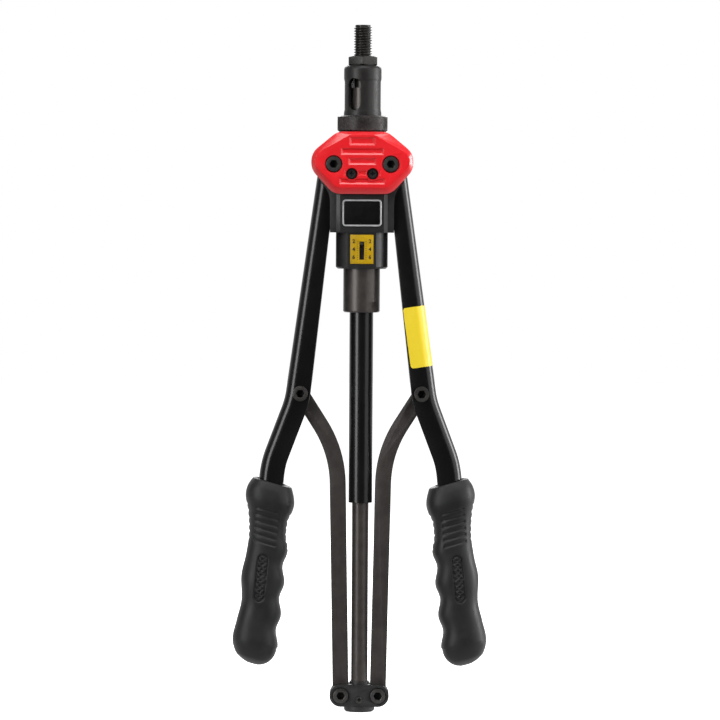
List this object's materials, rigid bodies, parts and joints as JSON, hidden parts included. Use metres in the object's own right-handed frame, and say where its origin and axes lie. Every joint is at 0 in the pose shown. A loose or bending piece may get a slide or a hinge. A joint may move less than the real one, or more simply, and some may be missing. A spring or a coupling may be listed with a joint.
{
  "type": "hand rivet nut tool",
  "caption": "Long-handled hand tool that sets rivet nuts: threaded mandrel and anvil, red head covers, channel handles with rubber grips, and links to a crosshead and sliding rod.",
  "frame": {"origin": "centre of the anvil's outer face, on the mandrel's axis", "axes": "+Z out along the mandrel, +X to the right in the front view, front of the tool towards -Y"},
  "size_m": [0.1694, 0.044, 0.4567],
  "materials": {
    "red_paint": "glossy red powder coat",
    "casting_paint": "satin black paint on a casting",
    "handle_enamel": "gloss black enamel",
    "phosphated_steel": "brown-grey phosphated steel",
    "blackened_steel": "dark blackened steel",
    "machined_steel": "machined",
    "rubber": "moulded charcoal rubber",
    "yellow_plate": "yellow printed plate",
    "plate_black": "anodised plate",
    "bronze": "sintered bronze"
  },
  "bodies": {
    "head": {"head_casting": "casting_paint", "front_cover": "red_paint", "rear_cover": "red_paint", "nose_sleeve": "blackened_steel", "anvil_nut": "blackened_steel", "pivot_pins": "machined_steel", "pivot_screws": "blackened_steel", "cover_screws": "blackened_steel", "name_plate": "plate_black", "scale_plate": "yellow_plate"},
    "collar": {"lock_collar": "blackened_steel"},
    "left_handle": {"left_handle_channel": "handle_enamel", "left_grip": "rubber", "left_cam": "machined_steel", "left_link_bolt": "blackened_steel", "left_link_nut": "blackened_steel", "left_link_spacers": "machined_steel"},
    "right_handle": {"right_handle_channel": "handle_enamel", "right_grip": "rubber", "right_cam": "machined_steel", "right_link_bolt": "blackened_steel", "right_link_nut": "blackened_steel", "right_link_spacers": "machined_steel"},
    "left_link": {"left_link_arm": "phosphated_steel", "left_link_bush": "bronze"},
    "right_link": {"right_link_arm": "phosphated_steel", "right_link_bush": "bronze"},
    "crosshead": {"crosshead_block": "casting_paint", "rod": "phosphated_steel", "spiral_nut": "bronze", "crosshead_bolts": "blackened_steel", "crosshead_nuts": "blackened_steel", "rod_set_screw": "machined_steel"},
    "drawbar": {"drawbar": "machined_steel", "drawbar_cap": "blackened_steel", "thrust_ring": "bronze"},
    "spindle": {"mandrel": "blackened_steel", "drive_spindle": "phosphated_steel", "bar_coupling": "blackened_steel", "spiral_bar": "machined_steel"},
    "stroke_stop": {"stroke_indicator": "phosphated_steel"},
    "stroke_adjuster": {"stroke_sleeve": "phosphated_steel", "guide_tube": "handle_enamel", "tube_bush": "bronze"}
  },
  "joints": [
    {"name": "left_handle_swing", "type": "hinge", "parent": "head", "child": "left_handle", "pos_m": [-0.01885, 0, -0.0718], "axis": [0, 1, 0], "range_deg": [0, 46.5]},
    {"name": "right_handle_swing", "type": "hinge", "parent": "head", "child": "right_handle", "pos_m": [0.01885, 0, -0.0718], "axis": [0, -1, 0], "range_deg": [0, 46.5]},
    {"name": "left_link_swing", "type": "hinge", "parent": "left_handle", "child": "left_link", "pos_m": [-0.04028, 0, -0.2239], "axis": [0, -1, 0], "range_deg": [0, 79]},
    {"name": "right_link_swing", "type": "hinge", "parent": "right_handle", "child": "right_link", "pos_m": [0.04028, 0, -0.2239], "axis": [0, 1, 0], "range_deg": [0, 79]},
    {"name": "crosshead_slide", "type": "slide", "parent": "head", "child": "crosshead", "axis": [0, 0, 1], "range_m": [0, 0.10943]},
    {"name": "drawbar_slide", "type": "slide", "parent": "head", "child": "drawbar", "axis": [0, 0, 1], "range_m": [0, 0.00791]},
    {"name": "mandrel_spin", "type": "hinge", "parent": "drawbar", "child": "spindle", "pos_m": [0, 0, 0], "axis": [0, 0, 1], "range_deg": [0, 2343]},
    {"name": "stroke_slide", "type": "slide", "parent": "head", "child": "stroke_stop", "axis": [0, 0, -1], "range_m": [0, 0.008]},
    {"name": "adjuster_turn", "type": "hinge", "parent": "stroke_stop", "child": "stroke_adjuster", "pos_m": [0, 0, -0.15], "axis": [0, 0, -1], "range_deg": [0, 1440]},
    {"name": "collar_turn", "type": "hinge", "parent": "head", "child": "collar", "pos_m": [0, 0, -0.045], "axis": [0, 0, 1], "continuous": true}
  ],
  "couplings": [
    {"joint": "right_handle_swing", "follows": "left_handle_swing", "ratio": 1},
    {"joint": "left_link_swing", "follows": "left_handle_swing", "ratio": 1.6987},
    {"joint": "right_link_swing", "follows": "left_handle_swing", "ratio": 1.6987},
    {"joint": "crosshead_slide", "follows": "left_handle_swing", "m_per_rad": 0.13482},
    {"joint": "drawbar_slide", "follows": "left_handle_swing", "m_per_rad": 0.009734},
    {"joint": "mandrel_spin", "follows": "left_handle_swing", "ratio": 50.382},
    {"joint": "stroke_slide", "follows": "adjuster_turn", "m_per_rad": 0.000316}
  ]
}
